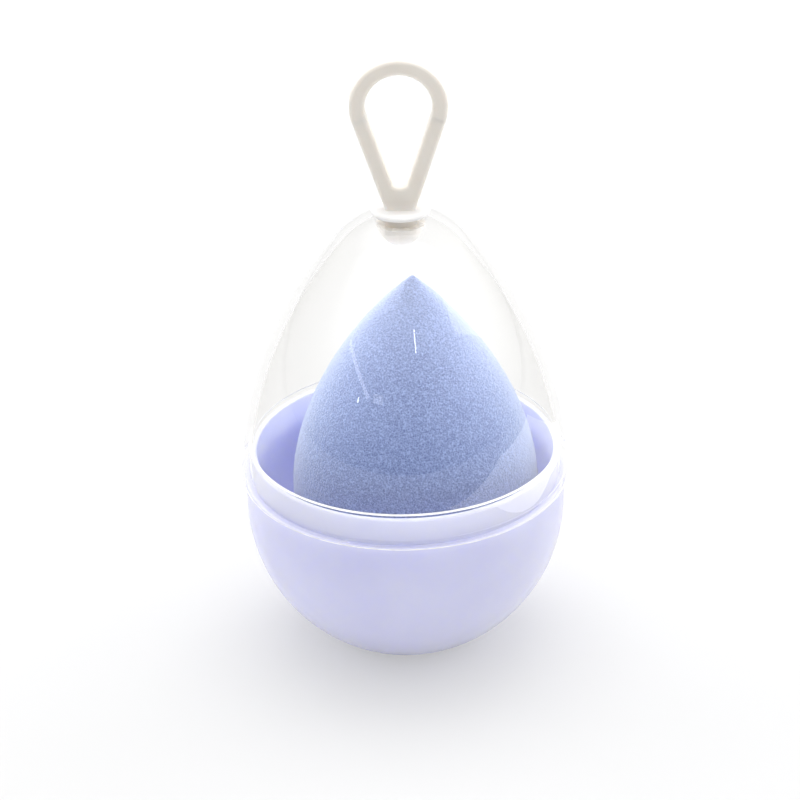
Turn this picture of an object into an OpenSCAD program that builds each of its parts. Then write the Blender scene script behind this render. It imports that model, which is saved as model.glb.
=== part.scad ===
// Foam makeup sponge in an egg-shaped travel case.
// Millimetres. The origin is the middle of the foot, on the surface that the case stands on.
// +Z points up, and the hanging loop lies flat in the XZ plane.

/* [Cup] */
// Outer radius of the cup at its widest, below the seam
cup_r = 29.25; // [26:0.25:33]
// Radius of the long round from the cup's widest part down to its foot
cup_side_r = 30.6; // [29.8:0.1:34]
// Radius of the flat foot
foot_r = 12.6; // [9:0.1:15]
// Width of the ring that the foot stands on
foot_ring_w = 2; // [1:0.1:4]
// Depth of the hollow inside the foot's ring
foot_hollow = 0.6; // [0.3:0.1:1]
// Thickness of the cup's floor over the foot's ring
floor_t = 2.1; // [1.6:0.1:3]
// Height of the seam, where the lid rests on the cup's shoulder
seam_z = 33; // [31:0.5:38]
// Round on the outer edge of the shoulder
shoulder_round = 0.4; // [0.2:0.1:0.8]
// Depth of the neck's lip below the ledge inside the lid
neck_drop = 1; // [0.5:0.1:2]
// Wall of the neck
neck_wall = 1; // [0.8:0.1:1.4]
// Round on both edges of the neck's lip
lip_round = 0.35; // [0.1:0.05:0.39]

/* [Lid] */
// Distance that the lid's straight skirt stands out beyond the cup
skirt_step = 0.15; // [0:0.05:0.4]
// Height of the straight skirt
skirt_h = 6; // [5.8:0.1:9]
// Wall of the lid's skirt
lid_wall = 1.25; // [1:0.05:1.5]
// Width of the ledge inside the skirt's top, where the dome's thicker wall starts
ledge_w = 0.3; // [0.1:0.05:0.6]
// Distance that the bead along the skirt's lower edge stands out beyond the skirt
bead_out = 0.6; // [0.3:0.05:1.5]
// Height of the bead
bead_h = 0.9; // [0.6:0.1:1.5]
// Height of the lid from the seam to the top of the crown's round
lid_h = 50.9; // [48:0.1:56]
// Radius of the long round up the lid's side
side_r = 81.8; // [70:0.5:110]
// Radius of the round over the crown
crown_r = 15.3; // [13:0.1:18]
// Depth of the flat seat below the top of the crown's round
seat_drop = 0.5; // [0.4:0.1:0.8]

/* [Hanging loop] */
// Outer radius of the loop's round end
loop_r = 8.4; // [7:0.1:10]
// Width of the strap, seen from the front
strap_w = 2.65; // [2:0.05:3.2]
// Thickness of the strap, front to back
strap_t = 3.4; // [2.6:0.1:4]
// Round on the strap's four edges
strap_round = 0.7; // [0.3:0.1:0.9]
// Height of the round end's centre above the flange
eye_rise = 18.5; // [16:0.1:24]
// Width of the root, where both legs meet on the flange
root_w = 5.3; // [4.8:0.1:6]
// Radius of the hollow round between the legs
crotch_r = 2.2; // [1.8:0.1:3]
// Height of the solid web between the legs above the flange, in the middle
web_h = 4; // [2.5:0.1:5]
// Radius of the flange that rests on the crown
flange_r = 5.2; // [5:0.1:6]
// Thickness of the flange
flange_t = 0.9; // [0.7:0.1:1.4]
// Radius of the plug's neck, inside the hole
plug_neck_r = 3; // [2.5:0.1:3.5]
// Radius of the barb at its top
barb_r = 4.3; // [4:0.1:4.6]
// Radius of the barb at its flat end
barb_end_r = 2.2; // [1.5:0.1:3]
// Height of the barb
barb_h = 3.5; // [3:0.1:4.5]
// Radius of the swell down the barb's side
barb_side_r = 6; // [4:0.5:20]

/* [Sponge] */
// Height of the sponge's widest part above its bottom
belly_h = 28; // [24:0.5:32]
// Distance that the sponge lies to the right of the middle
sponge_shift = 1.85; // [0:0.05:2.5]

/* [Fits] */
// Gap where the lid rests on the cup's shoulder, and the flange on the crown's seat
rest_gap = 0.05; // [0.02:0.01:0.1]
// Gap between the cup's neck and the lid's skirt, all round
neck_gap = 0.1; // [0.05:0.05:0.3]
// Gap between the plug's neck and the hole in the crown, all round
hole_gap = 0.05; // [0.03:0.01:0.1]
// Gap between the barb's rim and the inside of the crown, straight down
barb_gap = 0.1; // [0.05:0.05:0.3]
// Gap between the sponge and the cup's floor
sponge_gap = 0.3; // [0.1:0.1:1]
// Least gap between the sponge's side and the cup's wall, on the right
side_gap = 2.55; // [2:0.05:5]
// Gap between the sponge's tip and the loop's barb
tip_gap = 6.5; // [4:0.1:12]

/* [Hidden] */
$fn = 144;

// Powers of the sponge's outline: how early its side bends in, how sharp its tip is,
// and how full its bottom is
side_power = 1.8;
tip_power = 0.92;
bottom_power = 2.1;
// Rings that the outline has above and below the widest part
sponge_rings = 22;
// One overrun for every cut
over = 1;

// Cup and neck
skirt_r = cup_r + skirt_step;
neck_r = skirt_r - lid_wall - neck_gap;
neck_h = skirt_h - neck_drop;
cup_in_r = neck_r - neck_wall;
cup_wall = cup_r - cup_in_r;
cup_mid_r = cup_r - cup_side_r;
cup_mid_z = sqrt(cup_side_r^2 - (foot_r - cup_mid_r)^2);
lip_z = seam_z + neck_h;

// Lid: the side's round meets the skirt's top and runs into the crown's round
bead_r = skirt_r + bead_out;
dome_wall = lid_wall + ledge_w;
skirt_z = seam_z + skirt_h;
lid_top_z = seam_z + lid_h;
crown_mid_z = lid_top_z - crown_r;
side_mid = meet([skirt_r, skirt_z], [0, crown_mid_z], side_r, side_r - crown_r);
join_rise_share = (crown_mid_z - side_mid[1]) / (side_r - crown_r);
seat_z = lid_top_z - seat_drop;
lid_in_r = neck_r + neck_gap;
lid_foot_z = seam_z + rest_gap;

// Hanging loop
flange_foot_z = seat_z + rest_gap;
flange_z = flange_foot_z + flange_t;
eye_z = flange_z + eye_rise;
strap_mid_r = loop_r - strap_w / 2;
leg_lean = asin(loop_r / norm([root_w / 2, eye_rise])) - atan(root_w / 2 / eye_rise);
leg_top = [strap_mid_r * cos(leg_lean), eye_z - strap_mid_r * sin(leg_lean)];
leg_l = (leg_top[1] - flange_foot_z) / cos(leg_lean);
crotch_z = flange_z + web_h + crotch_r;
barb_z = crown_mid_z + sqrt((crown_r - dome_wall)^2 - barb_r^2) - barb_gap;

// Sponge
sponge_z = floor_t + sponge_gap;
sponge_r = cup_in_r - side_gap - sponge_shift;
sponge_h = barb_z - barb_h - tip_gap - sponge_z;

// The crossing of two circles about p and q with radii a and b, left of the way from p to q
function meet(p, q, a, b) =
    let (d = norm(q - p), u = (q - p) / d, along = (a^2 - b^2 + d^2) / (2 * d))
    p + along * u + sqrt(a^2 - along^2) * [-u[1], u[0]];

// Upper part of a wall from r0 to r1 whose two top edges are round
module round_top(r0, r1, z0, z1, round_r) {
    translate([r0, z0]) square([r1 - r0, z1 - round_r - z0]);
    translate([r0 + round_r, z0]) square([r1 - r0 - 2 * round_r, z1 - z0]);
    for (r = [r0 + round_r, r1 - round_r]) translate([r, z1 - round_r]) circle(r = round_r);
}

// Half outline of the cup's bowl, drawn in by a wall and filled up to a height
module bowl(inset, bottom_z, top_z) {
    intersection() {
        translate([cup_mid_r, cup_mid_z]) circle(r = cup_side_r - inset);
        translate([0, bottom_z]) square([cup_r, cup_mid_z - bottom_z]);
    }
    translate([0, cup_mid_z]) square([cup_r - inset, top_z - cup_mid_z]);
}

module base_cup() {
    color([0.80, 0.80, 0.93])
    rotate_extrude()
    difference() {
        union() {
            bowl(0, 0, seam_z - shoulder_round);
            round_top(0, cup_r, seam_z - 3 * shoulder_round, seam_z, shoulder_round);
            round_top(cup_in_r, neck_r, seam_z - over, lip_z, lip_round);
        }
        bowl(cup_wall, floor_t, lip_z - lip_round);
        translate([0, seam_z]) square([cup_in_r, neck_h + over]);
        translate([0, -over]) square([foot_r - foot_ring_w, foot_hollow + over]);
    }
}

// Half outline of the lid's dome, drawn in by a wall. The side's round and the crown's round
// meet on one line from their middles, so each has its own height of join.
module dome(inset) {
    join_z = crown_mid_z + (crown_r - inset) * join_rise_share;
    translate([0, lid_foot_z]) square([skirt_r - inset, skirt_z - lid_foot_z]);
    intersection() {
        translate(side_mid) circle(r = side_r - inset);
        translate([0, skirt_z]) square([skirt_r - inset, join_z - skirt_z]);
    }
    intersection() {
        translate([0, crown_mid_z]) circle(r = crown_r - inset);
        translate([0, join_z]) square([crown_r, crown_r]);
    }
}

module bead() {
    translate([lid_in_r, lid_foot_z]) square([bead_r - bead_h / 2 - lid_in_r, bead_h]);
    translate([bead_r - bead_h / 2, lid_foot_z + bead_h / 2]) circle(r = bead_h / 2);
}

module dome_lid() {
    color([0.94, 0.95, 0.97, 0.35])
    rotate_extrude()
    difference() {
        union() {
            dome(0);
            bead();
        }
        dome(dome_wall);
        translate([0, seam_z - over]) square([lid_in_r, skirt_h + over]);
        translate([0, seat_z]) square([crown_r, crown_r]);
        translate([0, crown_mid_z]) square([plug_neck_r + hole_gap, crown_r + over]);
    }
}

// Section of the strap: a rectangle with four round edges, side to side along X
module strap_section() {
    square([strap_w - 2 * strap_round, strap_t], center = true);
    square([strap_w, strap_t - 2 * strap_round], center = true);
    for (x = [-1, 1], y = [-1, 1])
        translate([x * (strap_w / 2 - strap_round), y * (strap_t / 2 - strap_round)])
            circle(r = strap_round);
}

// Round end of the loop, and the tangent legs below it. A core runs from each leg into
// the round end, so that they are one solid.
module strap() {
    translate([0, 0, eye_z])
        rotate([90, 0, 0])
        rotate([0, 0, -leg_lean])
        rotate_extrude(angle = 180 + 2 * leg_lean)
        translate([strap_mid_r, 0]) strap_section();
    for (turn = [0, 180]) rotate([0, 0, turn])
        translate([leg_top[0], 0, leg_top[1]])
        rotate([0, leg_lean, 0]) {
            translate([0, 0, -leg_l - strap_w]) linear_extrude(leg_l + strap_w) strap_section();
            cube([strap_w, strap_t, strap_w] - 2 * [strap_round, strap_round, strap_round], center = true);
        }
}

// Distance of a leg's middle line from the loop's middle at a height
function leg_x(z) = leg_top[0] - (leg_top[1] - z) * tan(leg_lean);

// Solid web between the legs, with the strap's edge round carried through the crotch
module web() {
    top_x = leg_x(crotch_z);
    foot_x = leg_x(flange_foot_z);
    difference() {
        rotate([90, 0, 0])
            linear_extrude(strap_t, center = true)
            polygon([
                [-top_x, crotch_z], [top_x, crotch_z], [foot_x, flange_foot_z], [-foot_x, flange_foot_z]
            ]);
        translate([0, 0, crotch_z]) rotate([90, 0, 0]) rotate_extrude() difference() {
            translate([0, -strap_t / 2 - over]) square([crotch_r + strap_round, strap_t + 2 * over]);
            translate([crotch_r + strap_w / 2, 0]) strap_section();
        }
    }
}

// Flange with a round rim, neck in the hole, and barb inside the lid
module plug() {
    end_z = barb_z - barb_h;
    swell_mid = meet([barb_end_r, end_z], [barb_r, barb_z], barb_side_r, barb_side_r);
    rotate_extrude() {
        translate([0, flange_foot_z]) square([flange_r - flange_t / 2, flange_t]);
        translate([flange_r - flange_t / 2, flange_foot_z + flange_t / 2]) circle(r = flange_t / 2);
        translate([0, barb_z - over]) square([plug_neck_r, flange_foot_z - barb_z + over + flange_t / 2]);
        intersection() {
            translate(swell_mid) circle(r = barb_side_r);
            translate([0, end_z]) square([barb_r, barb_h]);
        }
    }
}

module hanging_loop() {
    color([0.90, 0.88, 0.85]) {
        difference() {
            union() {
                strap();
                web();
            }
            translate([-loop_r, -strap_t, flange_foot_z - loop_r])
                cube([2 * loop_r, 2 * strap_t, loop_r + flange_t / 2]);
        }
        plug();
    }
}

// Outline of the sponge: share runs from 0 at the widest part to 1 at the tip or the bottom
function tip_outline(share) =
    [sponge_r * (1 - share^side_power)^tip_power, belly_h + (sponge_h - belly_h) * share];
function bottom_outline(share) =
    [sponge_r * (1 - share^bottom_power)^(1 / bottom_power), belly_h * (1 - share)];

module sponge() {
    shares = [for (i = [0 : sponge_rings]) sin(90 * i / sponge_rings)];
    color([0.64, 0.71, 0.89])
    translate([sponge_shift, 0, sponge_z])
    rotate_extrude()
    polygon(concat(
        [for (i = [sponge_rings : -1 : 1]) bottom_outline(shares[i])],
        [for (share = shares) tip_outline(share)]
    ));
}

base_cup();
dome_lid();
hanging_loop();
sponge();
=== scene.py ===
"""Makeup sponge in its egg-shaped travel case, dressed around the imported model. Lengths are in metres."""

import math

import bmesh
import bpy
from mathutils import Matrix, Vector

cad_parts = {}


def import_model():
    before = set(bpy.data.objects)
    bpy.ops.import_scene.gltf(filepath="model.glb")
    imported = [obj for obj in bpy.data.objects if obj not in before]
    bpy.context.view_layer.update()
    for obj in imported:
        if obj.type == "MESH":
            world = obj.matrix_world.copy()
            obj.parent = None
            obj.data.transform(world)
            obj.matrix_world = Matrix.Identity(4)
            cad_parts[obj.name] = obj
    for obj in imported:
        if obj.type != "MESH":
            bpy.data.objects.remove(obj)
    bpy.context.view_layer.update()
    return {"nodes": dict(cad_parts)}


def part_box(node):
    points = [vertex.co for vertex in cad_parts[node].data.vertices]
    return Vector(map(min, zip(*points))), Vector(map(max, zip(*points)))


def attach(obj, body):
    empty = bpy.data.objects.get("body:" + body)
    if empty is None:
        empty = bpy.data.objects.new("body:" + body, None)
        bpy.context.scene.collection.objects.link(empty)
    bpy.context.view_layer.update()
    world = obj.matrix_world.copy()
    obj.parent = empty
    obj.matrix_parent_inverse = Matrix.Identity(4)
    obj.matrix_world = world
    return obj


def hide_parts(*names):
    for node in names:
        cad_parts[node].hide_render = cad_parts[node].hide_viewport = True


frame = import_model()

MM = 0.001
nodes = frame["nodes"]


# Small helpers for modelling


def deselect_all():
    """Leaves nothing selected, so that an operator only meets what is picked for it."""
    bpy.ops.object.select_all(action="DESELECT")


def pick(obj):
    """Makes one object the selected and active one."""
    deselect_all()
    obj.select_set(True)
    bpy.context.view_layer.objects.active = obj


def select_ring(obj, height, reach):
    """Selects the points of the mesh in edit mode that lie at a height, within a reach."""
    mesh = bmesh.from_edit_mesh(obj.data)
    for point in mesh.verts:
        point.select = abs(point.co.z - height) < reach
    mesh.select_flush_mode()
    bmesh.update_edit_mesh(obj.data)


def apply_modifiers(obj):
    """Applies every modifier of an object, in order."""
    pick(obj)
    for modifier in list(obj.modifiers):
        bpy.ops.object.modifier_apply(modifier=modifier.name)


def settle(obj):
    """Puts the object's place into its mesh, so that the object itself sits at the origin."""
    pick(obj)
    bpy.ops.object.transform_apply(location=True, rotation=True, scale=True)


# Small helpers for materials


class Shader:
    """The nodes of one material or world, with short calls to add and join them."""

    def __init__(self, owner):
        owner.use_nodes = True
        self.tree = owner.node_tree
        self.tree.nodes.clear()

    def add(self, kind, settings=None, **inputs):
        """Adds a node. Inputs are values or other nodes' outputs, by the socket's name."""
        node = self.tree.nodes.new(kind)
        for name, value in (settings or {}).items():
            setattr(node, name, value)
        for name, value in inputs.items():
            name = name.replace("_", " ")
            self.join(next(s for s in node.inputs if s.name == name and s.enabled), value)
        return node

    def join(self, socket, value):
        """Gives an input socket a value, or joins it to another node's output."""
        if isinstance(value, bpy.types.NodeSocket):
            self.tree.links.new(value, socket)
        else:
            socket.default_value = value

    def math(self, operation, first, second=0.0):
        """Adds a Math node and gives its output."""
        node = self.add("ShaderNodeMath", {"operation": operation})
        self.join(node.inputs[0], first)
        self.join(node.inputs[1], second)
        return node.outputs[0]

    def vector_math(self, operation, first, second):
        """Adds a Vector Math node and gives its outputs."""
        node = self.add("ShaderNodeVectorMath", {"operation": operation})
        self.join(node.inputs[0], first)
        self.join(node.inputs[1], second)
        return node.outputs

    def ramp(self, factor, low, high, low_color, high_color):
        """Adds a ramp from one colour to another between two places, and gives its colour."""
        node = self.add("ShaderNodeValToRGB")
        elements = node.color_ramp.elements
        elements[0].position, elements[1].position = low, high
        elements[0].color, elements[1].color = low_color, high_color
        self.join(node.inputs[0], factor)
        return node.outputs[0]

    def fade(self, value, start, end, low, high):
        """Turns a value that goes from start to end into a number from low to high, held beyond."""
        node = self.add("ShaderNodeMapRange", From_Min=start, From_Max=end, To_Min=low, To_Max=high)
        self.join(node.inputs["Value"], value)
        return node.outputs[0]

    def spread(self, factor, low, high):
        """Turns a texture's 0 to 1 into a number from low to high."""
        return self.fade(factor, 0.0, 1.0, low, high)

    def mix_numbers(self, share, first, second):
        """Goes from one number to another by a share."""
        node = self.add("ShaderNodeMix", {"data_type": "FLOAT"})
        for index, value in zip((0, 2, 3), (share, first, second)):
            self.join(node.inputs[index], value)
        return node.outputs[0]

    def multiply_colors(self, first, second):
        """Multiplies one colour by another."""
        node = self.add("ShaderNodeMix", {"data_type": "RGBA", "blend_type": "MULTIPLY"})
        for index, value in zip((0, 6, 7), (1.0, first, second)):
            self.join(node.inputs[index], value)
        return node.outputs[2]

    def mix_surfaces(self, share, first, second):
        """Goes from one surface to another by a share."""
        node = self.add("ShaderNodeMixShader")
        for socket, value in zip(node.inputs, (share, first, second)):
            self.join(socket, value)
        return node.outputs[0]

    def place(self):
        """The point on the piece, in metres from the origin."""
        return self.add("ShaderNodeTexCoord").outputs["Object"]

    def noise(self, size, detail=3.0, roughness=0.5):
        """Cloudy noise with lumps of about a size in metres."""
        node = self.add("ShaderNodeTexNoise", Vector=self.place(), Scale=1 / size)
        node.inputs["Detail"].default_value = detail
        node.inputs["Roughness"].default_value = roughness
        return node.outputs[0]

    def cells(self, size):
        """Distance to the middle of round cells of about a size in metres."""
        return self.add("ShaderNodeTexVoronoi", Vector=self.place(), Scale=1 / size).outputs["Distance"]

    def bump(self, height, depth):
        """Surface relief of a depth in metres."""
        node = self.add("ShaderNodeBump", Distance=depth)
        self.join(node.inputs["Height"], height)
        return node.outputs[0]

    def out(self, surface, kind="ShaderNodeOutputMaterial"):
        """Makes a surface the material's or the world's own."""
        self.join(self.add(kind).inputs["Surface"], surface)


def linear(red, green, blue):
    """A colour given as 0 to 255 in sRGB, as Blender's linear numbers."""

    def one(value):
        value /= 255
        return value / 12.92 if value <= 0.04045 else ((value + 0.055) / 1.055) ** 2.4

    return one(red), one(green), one(blue), 1.0


# Finishes

PORE_SIZE = 0.33 * MM
GRAIN_SIZE = 0.27 * MM


def foam_finish():
    """Fine blue latex-free foam: open pores with painted shade, so the colour darkens towards each pore's
    middle, random grain, and a soft velvet edge.
    """
    material = bpy.data.materials.new("blue_foam")
    shader = Shader(material)
    pores = shader.math("MULTIPLY", shader.cells(PORE_SIZE), 0.45)
    grain = shader.math("MULTIPLY", shader.noise(GRAIN_SIZE, detail=3, roughness=0.6), 0.9)
    cloud = shader.noise(9 * MM, detail=2)
    speckle = shader.math("ADD", pores, grain)
    # Painted shade: the colour darkens towards each pore's middle, with random grain on top.
    pore_shade_color = shader.ramp(speckle, 0.4, 0.9, linear(78, 95, 149), linear(152, 170, 215))
    tint = shader.ramp(cloud, 0.3, 0.7, (0.94, 0.95, 0.97, 1), (1, 1, 1, 1))
    surface = shader.add(
        "ShaderNodeBsdfPrincipled",
        Base_Color=shader.multiply_colors(pore_shade_color, tint),
        Roughness=0.95,
        Normal=shader.bump(speckle, 0.15 * MM),
        Sheen_Weight=0.8,
        Sheen_Roughness=0.45,
        Sheen_Tint=(0.9, 0.95, 1, 1),
        Specular_IOR_Level=0.15,
    )
    shader.out(surface.outputs[0])
    return material


def cup_finish():
    """Satin lilac moulded plastic, a little translucent."""
    material = bpy.data.materials.new("lilac_satin_plastic")
    shader = Shader(material)
    flow = shader.noise(14 * MM, detail=2)
    skin = shader.noise(0.35 * MM, detail=2)
    surface = shader.add(
        "ShaderNodeBsdfPrincipled",
        Base_Color=shader.ramp(flow, 0.3, 0.7, linear(200, 201, 236), linear(206, 207, 240)),
        Roughness=shader.spread(flow, 0.18, 0.26),
        Normal=shader.bump(skin, 0.004 * MM),
        IOR=1.49,
        Subsurface_Weight=0.8,
        Subsurface_Radius=(0.7, 0.75, 1.3),
        Subsurface_Scale=6 * MM,
    )
    shader.out(surface.outputs[0])
    return material


LID_MIDDLE = (0, 0, 50 * MM)


def outside_share(shader):
    """1 where a ray meets the outside of the lid from the air, and 0 inside it or in its wall."""
    point = shader.add("ShaderNodeTexCoord").outputs
    from_middle = shader.vector_math("SUBTRACT", point["Object"], LID_MIDDLE)["Vector"]
    outward = shader.vector_math("DOT_PRODUCT", from_middle, point["Normal"])["Value"]
    backfacing = shader.add("ShaderNodeNewGeometry").outputs["Backfacing"]
    from_air = shader.math("SUBTRACT", 1.0, backfacing)
    return shader.math("MULTIPLY", shader.math("GREATER_THAN", outward, 0.0), from_air)


def lid_finish():
    """Clear polished plastic. Light goes almost straight through its thin wall, which darkens a
    little where it is seen along. The coat outside stands for the gloss of both faces."""
    material = bpy.data.materials.new("clear_polished_plastic")
    shader = Shader(material)
    smear = shader.noise(7 * MM, detail=3)
    facing = shader.add("ShaderNodeLayerWeight", Blend=0.5).outputs["Facing"]
    glass = shader.add(
        "ShaderNodeBsdfPrincipled",
        Base_Color=shader.ramp(facing, 0.1, 0.9, (0.977, 0.977, 0.975, 1), (0.885, 0.88, 0.868, 1)),
        Roughness=shader.spread(smear, 0.0, 0.03),
        IOR=1.01,
        Transmission_Weight=1.0,
        Coat_Weight=outside_share(shader),
        Coat_IOR=1.8,
        Coat_Roughness=0.01,
        Normal=shader.bump(smear, 0.01 * MM),
    )
    for_lamps = shader.add("ShaderNodeBsdfTransparent", Color=(0.97, 0.97, 0.97, 1))
    shadow = shader.add("ShaderNodeLightPath").outputs["Is Shadow Ray"]
    shader.out(shader.mix_surfaces(shadow, glass.outputs[0], for_lamps.outputs[0]))
    return material


def painted_highlight_finish():
    """Painted highlights: an opaque pale colour that stands for the light gathered by the clear plastic's
    moulded edges.
    """
    material = bpy.data.materials.new("painted_edge_highlight")
    shader = Shader(material)
    edge_mottle = shader.noise(2 * MM, detail=2)
    surface = shader.add(
        "ShaderNodeBsdfPrincipled",
        # Painted highlight: an opaque pale colour, mottled a little.
        Base_Color=shader.ramp(edge_mottle, 0.3, 0.7, (0.8, 0.8, 0.81, 1), (0.95, 0.95, 0.96, 1)),
        Roughness=shader.spread(edge_mottle, 0.2, 0.35),
        IOR=1.53,
    )
    shader.out(surface.outputs[0])
    return material


BARB_LOW_Z = 83 * MM
BARB_HIGH_Z = 83.6 * MM
FLANGE_TOP_Z = 84.4 * MM
LEGS_Z = 86 * MM


def loop_finish():
    """Off-white silicone, matt and translucent. The flange is painted lighter for the top light that it
    catches, and the barb inside the lid is painted darker as shade, while the legs keep the warmer silicone
    colour. Light goes deeper into the thick flange than into the thin legs."""
    material = bpy.data.materials.new("off_white_silicone")
    shader = Shader(material)
    cloud = shader.noise(4 * MM, detail=2)
    skin = shader.noise(0.25 * MM, detail=3)
    height = shader.add("ShaderNodeSeparateXYZ", Vector=shader.place()).outputs["Z"]
    # Painted light: the colour is lightest on the flange, for the top light that falls on it, and warms
    # towards the legs.
    legs = shader.fade(height, FLANGE_TOP_Z, LEGS_Z, 0.0, 0.6)
    # Painted shade: the barb inside the lid is painted darker and warmer.
    barb = shader.fade(height, BARB_LOW_Z, BARB_HIGH_Z, 0.5, 0.0)
    shade_and_tone = shader.math("ADD", legs, shader.math("MULTIPLY", cloud, 0.3))
    shade_and_tone = shader.math("ADD", shade_and_tone, barb)
    surface = shader.add(
        "ShaderNodeBsdfPrincipled",
        Base_Color=shader.ramp(shade_and_tone, 0.1, 0.8, linear(238, 236, 234), linear(226, 221, 213)),
        Roughness=shader.spread(cloud, 0.5, 0.62),
        Normal=shader.bump(skin, 0.006 * MM),
        Subsurface_Weight=0.6,
        Subsurface_Radius=(1.1, 1.0, 0.9),
        Subsurface_Scale=shader.fade(height, FLANGE_TOP_Z, LEGS_Z, 4 * MM, 0.8 * MM),
        IOR=1.41,
    )
    shader.out(surface.outputs[0])
    return material


def give(obj, material):
    """Puts a material in every slot of a piece."""
    if not obj.data.materials:
        obj.data.materials.append(material)
    for index in range(len(obj.data.materials)):
        obj.data.materials[index] = material


# The foam sponge

SIDE_POWER = 1.8
TIP_POWER = 0.92
BOTTOM_POWER = 2.1
BELLY_SHARE = 0.405
RINGS = 40
RING_REACH = 1e-6


def foam_sponge():
    """The teardrop sponge: a ball drawn out ring by ring, with its pores pressed in."""
    low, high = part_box("sponge")
    middle_x = (low.x + high.x) / 2
    radius = (high.x - low.x) / 2
    length = high.z - low.z
    belly_z = low.z + BELLY_SHARE * length
    middle = (middle_x, 0, belly_z)
    deselect_all()
    bpy.ops.mesh.primitive_uv_sphere_add(segments=72, ring_count=RINGS, radius=radius, location=middle)
    sponge = bpy.context.active_object
    sponge.name = "foam_sponge"
    settle(sponge)
    bpy.ops.object.mode_set(mode="EDIT")
    for ring in range(RINGS + 1):
        turn = math.pi * ring / RINGS
        up = math.cos(turn)
        old_z = belly_z + radius * up
        share = abs(up)
        if up > 0:
            new_radius = radius * max(0, 1 - share**SIDE_POWER) ** TIP_POWER
            new_z = belly_z + (high.z - belly_z) * share
        else:
            new_radius = radius * max(0, 1 - share**BOTTOM_POWER) ** (1 / BOTTOM_POWER)
            new_z = belly_z - (belly_z - low.z) * share
        select_ring(sponge, old_z, RING_REACH)
        if 0 < ring < RINGS:
            scale = new_radius / (radius * math.sin(turn))
            bpy.ops.transform.resize(value=(scale, scale, 1), center_override=(middle_x, 0, old_z))
        bpy.ops.transform.translate(value=(0, 0, new_z - old_z))
    bpy.ops.object.mode_set(mode="OBJECT")

    smooth = sponge.modifiers.new("round", "SUBSURF")
    smooth.levels = smooth.render_levels = 2
    even = sponge.modifiers.new("even", "REMESH")
    even.mode = "VOXEL"
    even.voxel_size = 0.25 * MM
    relax = sponge.modifiers.new("relax", "SMOOTH")
    relax.factor = 0.5
    relax.iterations = 3
    pore_texture = bpy.data.textures.new("pores", "VORONOI")
    pore_texture.noise_scale = 0.7 * MM
    pores = sponge.modifiers.new("pores", "DISPLACE")
    pores.texture = pore_texture
    pores.texture_coords = "LOCAL"
    pores.mid_level = 1.0
    pores.strength = 0.09 * MM
    apply_modifiers(sponge)
    bpy.ops.object.shade_smooth()
    give(sponge, foam_finish())
    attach(sponge, "sponge")
    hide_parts("sponge")


# The clear lid, turned from one outline so that light bends evenly through it

SKIRT_R = 29.4 * MM
BORE_R = 28.15 * MM
DOME_WALL = 1.55 * MM
BEAD_R = 30.0 * MM
BEAD_ROUND = 0.3 * MM
BEAD_H = 1.6 * MM
BEAD_STEPS = 10
LID_FOOT_Z = 33.05 * MM
SKIRT_Z = 39.0 * MM
SIDE_R = 81.8 * MM
SIDE_MID = (-51.4306 * MM, 26.4438 * MM)
CROWN_R = 15.3 * MM
CROWN_MID_Z = 68.6 * MM
SEAT_Z = 83.4 * MM
HOLE_R = 3.05 * MM
EDGE_ROUND = 0.12 * MM
EDGE_H = 0.3 * MM
SKIRT_BREAK = 0.4 * MM
SIDE_STEPS = 48
CROWN_STEPS = 30
LID_STEPS = 224


def arc(middle, radius, start, end, count):
    """Points on an arc from one angle to another, in degrees, both ends included."""
    points = []
    for step in range(count + 1):
        angle = math.radians(start + (end - start) * step / count)
        points.append((middle[0] + radius * math.cos(angle), middle[1] + radius * math.sin(angle)))
    return points


def dome_outline(inset, top_r):
    """The dome's curve from the skirt's top to a radius near the axis, drawn in by a wall."""
    side_r = SIDE_R - inset
    crown_r = CROWN_R - inset
    start = math.degrees(math.asin((SKIRT_Z - SIDE_MID[1]) / side_r))
    join = math.degrees(math.atan2(CROWN_MID_Z - SIDE_MID[1], -SIDE_MID[0]))
    end = math.degrees(math.acos(top_r / crown_r))
    side = arc(SIDE_MID, side_r, start, join, SIDE_STEPS)
    crown = arc((0, CROWN_MID_Z), crown_r, join, end, CROWN_STEPS)
    return side + crown[1:]


def lid_outline():
    """Half of the lid's section as one closed line, from the bore's foot out and round."""
    bead_mid = (BEAD_R - BEAD_ROUND, LID_FOOT_Z + BEAD_ROUND)
    seat_r = math.sqrt(CROWN_R**2 - (SEAT_Z - CROWN_MID_Z) ** 2)
    inside = dome_outline(DOME_WALL, HOLE_R)
    ledge_r = inside[0][0]
    points = [(BORE_R, LID_FOOT_Z + EDGE_ROUND), (BORE_R + EDGE_ROUND, LID_FOOT_Z)]
    points += arc(bead_mid, BEAD_ROUND, -90, 0, 6)
    for step in range(1, BEAD_STEPS + 1):
        up = step / BEAD_STEPS
        flare = (1 - math.cos(math.pi * up)) / 2
        points.append((BEAD_R + (SKIRT_R - BEAD_R) * flare, bead_mid[1] + BEAD_H * up))
    points.append((SKIRT_R, SKIRT_Z - SKIRT_BREAK))
    points += dome_outline(0, seat_r)[1:]
    points += [(HOLE_R + EDGE_ROUND, SEAT_Z), (HOLE_R, SEAT_Z - EDGE_ROUND)]
    points += inside[::-1]
    points += [(ledge_r, SKIRT_Z + EDGE_ROUND), (ledge_r + EDGE_ROUND, SKIRT_Z)]
    points += [(BORE_R - EDGE_ROUND, SKIRT_Z), (BORE_R, SKIRT_Z - EDGE_ROUND)]
    return points


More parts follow.
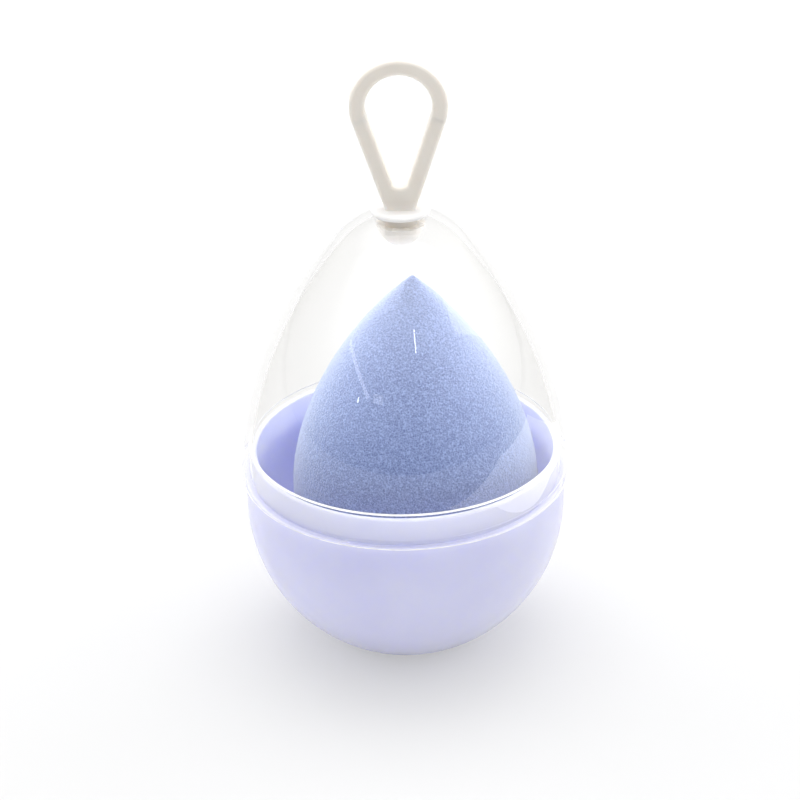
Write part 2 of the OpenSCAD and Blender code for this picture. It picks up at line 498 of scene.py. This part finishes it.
def draw_line(points, name):
    """A mesh with one line through the points, in the plane of X and Z."""
    deselect_all()
    bpy.ops.mesh.primitive_plane_add(size=MM)
    obj = bpy.context.active_object
    obj.name = name
    bpy.ops.object.mode_set(mode="EDIT")
    bpy.ops.mesh.select_all(action="SELECT")
    bpy.ops.mesh.merge(type="CENTER")
    bpy.ops.transform.translate(value=(points[0][0], 0, points[0][1]))
    for old, new in zip(points, points[1:] + points[:1]):
        step = (new[0] - old[0], 0, new[1] - old[1])
        bpy.ops.mesh.extrude_region_move(TRANSFORM_OT_translate={"value": step})
    return obj


def paint_edge_highlights(lid):
    """Paints highlight lines: the faces at the bead's foot and on the ledge get the opaque pale colour that
    stands for the light these edges catch.
    """
    lid.data.materials.append(painted_highlight_finish())
    for face in lid.data.polygons:
        middle = face.center
        radius = math.hypot(middle.x, middle.y)
        at_foot = middle.z < LID_FOOT_Z + EDGE_H and radius > BEAD_R - EDGE_H
        at_ledge = abs(middle.z - SKIRT_Z) < 1.2 * EDGE_ROUND and radius < BORE_R + EDGE_ROUND
        # These faces get the painted highlight colour.
        face.material_index = 1 if at_foot or at_ledge else 0


def clear_lid():
    """The lid's outline, spun all the way round."""
    lid = draw_line(lid_outline(), "clear_lid")
    bpy.ops.mesh.select_all(action="SELECT")
    bpy.ops.mesh.spin(steps=LID_STEPS, angle=2 * math.pi, center=(0, 0, 0), axis=(0, 0, 1))
    bpy.ops.mesh.select_all(action="SELECT")
    bpy.ops.mesh.remove_doubles(threshold=0.002 * MM)
    bpy.ops.mesh.normals_make_consistent(inside=False)
    bpy.ops.object.mode_set(mode="OBJECT")
    bpy.ops.object.shade_smooth_by_angle(angle=math.radians(30))
    give(lid, lid_finish())
    paint_edge_highlights(lid)
    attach(lid, "lid")
    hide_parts("dome_lid")


# Studio: floor, light and camera


def eye_shares(shader):
    """Three numbers that say whether the eye looks straight, through the lid or into a shiny part.
    Each is 1 or 0, and all are 0 for light that the foam has scattered."""
    path = shader.add("ShaderNodeLightPath").outputs
    not_scattered = shader.math("LESS_THAN", path["Diffuse Depth"], 0.5)
    through_lid = shader.math("MULTIPLY", path["Is Transmission Ray"], not_scattered)
    mirrored = shader.math("MULTIPLY", path["Is Glossy Ray"], not_scattered)
    return path["Is Camera Ray"], through_lid, mirrored


FLOOR_SIZE = 6
FLOOR_Z = -0.02 * MM
FLOOR_SHADE = 0.85
FLOOR_SEEN_SHADE = 0.6
FLOOR_SEEN_WHITE = 0.46


def floor():
    """A pale floor that stays white to the eye and keeps the object's shadow."""
    deselect_all()
    bpy.ops.mesh.primitive_plane_add(size=FLOOR_SIZE, location=(0, 0, FLOOR_Z))
    plane = bpy.context.active_object
    plane.name = "floor"
    material = bpy.data.materials.new("pale_floor")
    shader = Shader(material)
    straight, through_lid, mirrored = eye_shares(shader)
    seen = shader.math("MAXIMUM", straight, shader.math("MAXIMUM", through_lid, mirrored))
    shade = shader.fade(seen, 0.0, 1.0, FLOOR_SHADE, FLOOR_SEEN_SHADE)
    matt = shader.add("ShaderNodeBsdfDiffuse", Color=shade)
    white = shader.add("ShaderNodeEmission", Color=(1, 1, 1, 1), Strength=1.0)
    share = shader.math("MULTIPLY", seen, FLOOR_SEEN_WHITE)
    shader.out(shader.mix_surfaces(share, matt.outputs[0], white.outputs[0]))
    give(plane, material)


CARD_LEFT, CARD_RIGHT = 0.09, 0.5
CARD_FRONT, CARD_BACK = -0.2, 0.09
CARD_Z = 0.1 * MM
CARD_GLOW = 2.0


def floor_card():
    """A bright card flat on the floor to the right, which only shows where shiny parts mirror it."""
    deselect_all()
    middle = ((CARD_LEFT + CARD_RIGHT) / 2, (CARD_FRONT + CARD_BACK) / 2, CARD_Z)
    bpy.ops.mesh.primitive_plane_add(size=1, location=middle)
    card = bpy.context.active_object
    card.name = "floor_card"
    card.scale = (CARD_RIGHT - CARD_LEFT, CARD_BACK - CARD_FRONT, 1)
    card.visible_camera = False
    card.visible_diffuse = False
    card.visible_shadow = False
    material = bpy.data.materials.new("bright_card")
    shader = Shader(material)
    shader.out(shader.add("ShaderNodeEmission", Color=(1, 1, 1, 1), Strength=CARD_GLOW).outputs[0])
    give(card, material)


EVEN_GLOW = 0.08
TOP_GLOW = 1.85
FRONT_MIRROR_GLOW = 0.35
BACK_MIRROR_GLOW = 0.9
TOP_FRONT_MIRROR_GLOW = 4.2
TOP_BACK_MIRROR_GLOW = 0.6
LEFT_MIRROR_GLOW = 0.5
RIGHT_MIRROR_GLOW = 1.5
LOW_SIDE_SHARE = 0.25
PANEL_MIRROR_GLOW = 0.45

# Where the mirrored surroundings change, as parts of a direction of length 1
WALL_Y = (-0.3, 0.5)
ROOF_Y = (-0.3, 0.1)
SIDE_X = (-0.3, 0.3)
SIDE_Z = (0.0, 0.35)
PANEL_Z = (0.6, 0.8)
PANEL_EDGE_X = -0.025


def mirror_glow(shader, direction, up):
    """How bright the surroundings look in shiny parts. It adds up a wall that is brighter at the
    back, a roof that is brighter in front, a panel overhead on the left, and the two sides."""
    wall = shader.fade(direction["Y"], *WALL_Y, FRONT_MIRROR_GLOW, BACK_MIRROR_GLOW)
    roof = shader.fade(direction["Y"], *ROOF_Y, TOP_FRONT_MIRROR_GLOW, TOP_BACK_MIRROR_GLOW)
    roof = shader.math("MULTIPLY", up, roof)
    panel = shader.fade(direction["Z"], *PANEL_Z, 0.0, PANEL_MIRROR_GLOW)
    panel = shader.math("MULTIPLY", panel, shader.math("LESS_THAN", direction["X"], PANEL_EDGE_X))
    side = shader.fade(direction["X"], *SIDE_X, LEFT_MIRROR_GLOW, RIGHT_MIRROR_GLOW)
    side = shader.math("MULTIPLY", shader.math("MULTIPLY", direction["X"], direction["X"]), side)
    side = shader.math("MULTIPLY", side, shader.fade(direction["Z"], *SIDE_Z, LOW_SIDE_SHARE, 1.0))
    return shader.math("ADD", wall, shader.math("ADD", shader.math("ADD", roof, panel), side))


def world():
    """Soft studio surroundings that light from above. They are white to the eye, straight or
    through the clear lid, and look as mirror_glow says in shiny parts."""
    surroundings = bpy.data.worlds.new("studio")
    bpy.context.scene.world = surroundings
    shader = Shader(surroundings)
    direction = shader.add("ShaderNodeSeparateXYZ", Vector=shader.place()).outputs
    up = shader.math("POWER", shader.math("MAXIMUM", direction["Z"], 0.0), 2.0)
    lighting = shader.math("ADD", shader.math("MULTIPLY", up, TOP_GLOW), EVEN_GLOW)
    straight, through_lid, mirrored = eye_shares(shader)
    around = shader.mix_numbers(mirrored, lighting, mirror_glow(shader, direction, up))
    strength = shader.mix_numbers(shader.math("MAXIMUM", straight, through_lid), around, 1.0)
    background = shader.add("ShaderNodeBackground", Color=(1, 1, 1, 1), Strength=strength)
    shader.out(background.outputs[0], "ShaderNodeOutputWorld")


def direction_at(azimuth, elevation):
    """The way out from the case. Azimuth 0 is the camera's side, and 90 the right."""
    turn, rise = math.radians(azimuth), math.radians(elevation)
    return Vector((math.sin(turn) * math.cos(rise), -math.cos(turn) * math.cos(rise), math.sin(rise)))


LAMP_TARGET = Vector((0, 0, 60 * MM))


def softbox(name, azimuth, elevation, distance, width, height, glow, faces=None, roll=0, mirrored=True):
    """A rectangular lamp that looks at the case, or squarely out of another direction.
    Glow is how bright its face looks, where 1 is white, and mirrored lamps show in shiny parts."""
    lamp = bpy.data.lights.new(name, "AREA")
    lamp.shape = "RECTANGLE"
    lamp.size = width
    lamp.size_y = height
    lamp.energy = math.pi * width * height * glow
    obj = bpy.data.objects.new(name, lamp)
    bpy.context.scene.collection.objects.link(obj)
    obj.location = LAMP_TARGET + direction_at(azimuth, elevation) * distance
    away = direction_at(*(faces or (azimuth, elevation)))
    obj.rotation_mode = "QUATERNION"
    turned = away.to_track_quat("Z", "Y").to_matrix() @ Matrix.Rotation(math.radians(roll), 3, "Z")
    obj.rotation_quaternion = turned.to_quaternion()
    obj.visible_glossy = mirrored


def camera():
    """The photograph's viewpoint, fitted to the outlines of the case's rings."""
    target = Vector((-0.72, 0, 46.69)) * MM
    distance = 394 * MM
    elevation = math.radians(27.57)
    roll = math.radians(-1.129)
    focal_pixels = 2175.6
    photo_width = 800
    data = bpy.data.cameras.new("camera")
    data.sensor_width = 36
    data.lens = data.sensor_width * focal_pixels / photo_width
    data.clip_start = 0.01
    data.clip_end = 20
    obj = bpy.data.objects.new("camera", data)
    bpy.context.scene.collection.objects.link(obj)
    back = Vector((0, -math.cos(elevation), math.sin(elevation)))
    tilt = Matrix.Rotation(math.pi / 2 - elevation, 4, "X")
    obj.matrix_world = Matrix.Translation(target + back * distance) @ tilt @ Matrix.Rotation(roll, 4, "Z")
    bpy.context.scene.camera = obj


camera()
foam_sponge()
give(nodes["base_cup"], cup_finish())
clear_lid()
give(nodes["hanging_loop"], loop_finish())
floor()
floor_card()
world()

# Lamps: azimuth, elevation, distance, width, height and glow
softbox("back_left_softbox", -125, 20, 0.9, 0.8, 0.8, 1.65, mirrored=False)
softbox("back_right_softbox", 125, 20, 0.9, 0.8, 0.8, 1.9, mirrored=False)
softbox("top_softbox", 180, 70, 0.9, 0.8, 0.7, 2.9, mirrored=False)
softbox("right_softbox", 79, 31, 0.99, 0.76, 0.39, 1.05, faces=(25, 0))
softbox("front_strip", 12.8, 34, 0.9, 0.018, 0.1, 8)
softbox("left_strip", -42, 22.8, 0.9, 0.42, 0.028, 1.3, roll=-22)
softbox("left_dash", -21.3, 18, 0.9, 0.12, 0.04, 0.9)
softbox("left_spark", -37.4, 15.9, 0.9, 0.018, 0.025, 7)

scene = bpy.context.scene
scene.view_settings.view_transform = "Standard"
scene.cycles.transmission_bounces = 64
scene.cycles.glossy_bounces = 64
scene.cycles.diffuse_bounces = 8
scene.cycles.max_bounces = 72
